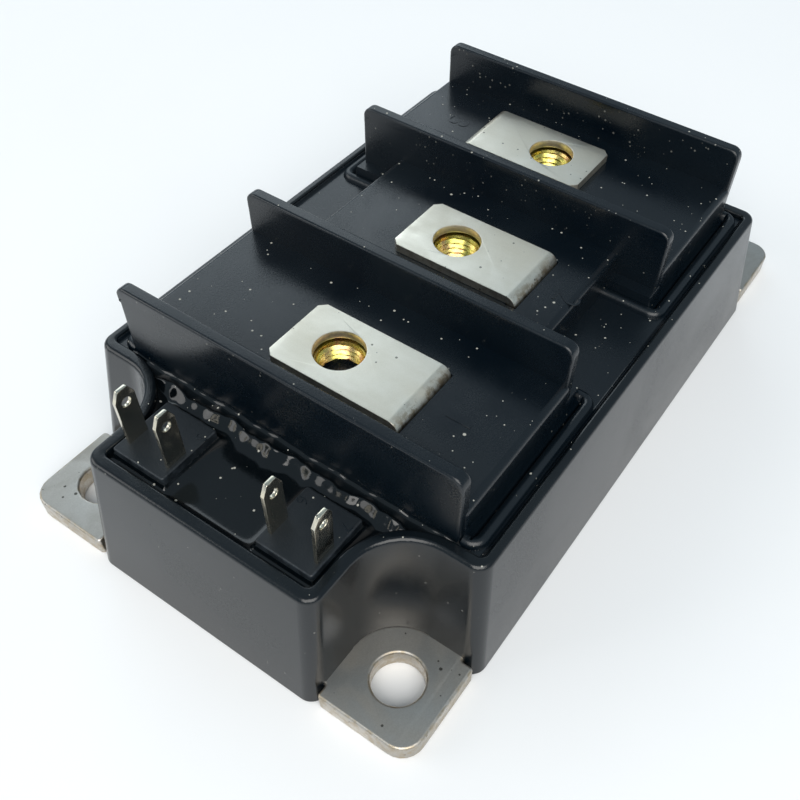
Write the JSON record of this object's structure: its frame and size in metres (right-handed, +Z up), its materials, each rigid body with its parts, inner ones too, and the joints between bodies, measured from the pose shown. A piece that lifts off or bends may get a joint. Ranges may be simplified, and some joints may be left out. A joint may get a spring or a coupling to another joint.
{
  "type": "igbt module",
  "caption": "Power transistor module: flat plated base with corner mounting holes, black housing, screw terminals on captive nuts between upright barrier ribs, push-on signal tabs at one end",
  "frame": {"origin": "bottom centre of the base plate, on the mounting face", "axes": "+X runs along the length, away from the end with the signal tabs; +Y runs across, from the side where the first two main terminals bend down to the other side; +Z points up, out of the mounting face towards the terminals"},
  "size_m": [0.108, 0.062, 0.0293],
  "materials": {
    "plated_base": "nickel plated copper, fine machining marks, light handling scratches",
    "frame_plastic": "satin black moulded plastic with a cool tint",
    "cover_plastic": "satin black moulded plastic with specks of dust",
    "terminal_plating": "nickel plated copper strip, fine speckle",
    "nut_plating": "yellow passivated zinc on steel",
    "tab_plating": "tinned brass, slightly dull",
    "resin": "glossy black casting resin",
    "gel": "clear soft silicone",
    "adhesive": "thin cured sealant",
    "copper": "bright copper",
    "ceramic": "white alumina",
    "solder": "dull solder",
    "silicon": "polished silicon with aluminium pads",
    "bond_wire": "bright drawn aluminium wire"
  },
  "bodies": {
    "root": {"base_plate": "plated_base", "frame": "frame_plastic", "frame_adhesive": "adhesive", "cover": "cover_plastic", "tab_block_1": "cover_plastic", "tab_block_2": "cover_plastic", "main_terminal_1": "terminal_plating", "main_terminal_2": "terminal_plating", "main_terminal_3": "terminal_plating", "terminal_nut_1": "nut_plating", "terminal_nut_2": "nut_plating", "terminal_nut_3": "nut_plating", "gate_tab_1": "tab_plating", "emitter_tab_1": "tab_plating", "emitter_tab_2": "tab_plating", "gate_tab_2": "tab_plating", "gate_lead_1": "copper", "emitter_lead_1": "copper", "emitter_lead_2": "copper", "gate_lead_2": "copper", "silicone_gel": "gel", "potting_resin": "resin", "arm_strap": "copper", "substrate_solder_1": "solder", "substrate_back_copper_1": "copper", "substrate_ceramic_1": "ceramic", "collector_track_1": "copper", "emitter_track_1": "copper", "gate_track_1": "copper", "igbt_chip_1a": "silicon", "igbt_chip_1b": "silicon", "diode_chip_1a": "silicon", "diode_chip_1b": "silicon", "chip_solder_1": "solder", "chip_wires_1": "bond_wire", "emitter_wires_1": "bond_wire", "gate_wires_1": "bond_wire", "substrate_solder_2": "solder", "substrate_back_copper_2": "copper", "substrate_ceramic_2": "ceramic", "collector_track_2": "copper", "emitter_track_2": "copper", "gate_track_2": "copper", "igbt_chip_2a": "silicon", "igbt_chip_2b": "silicon", "diode_chip_2a": "silicon", "diode_chip_2b": "silicon", "chip_solder_2": "solder", "chip_wires_2": "bond_wire", "emitter_wires_2": "bond_wire", "gate_wires_2": "bond_wire"}
  },
  "joints": []
}
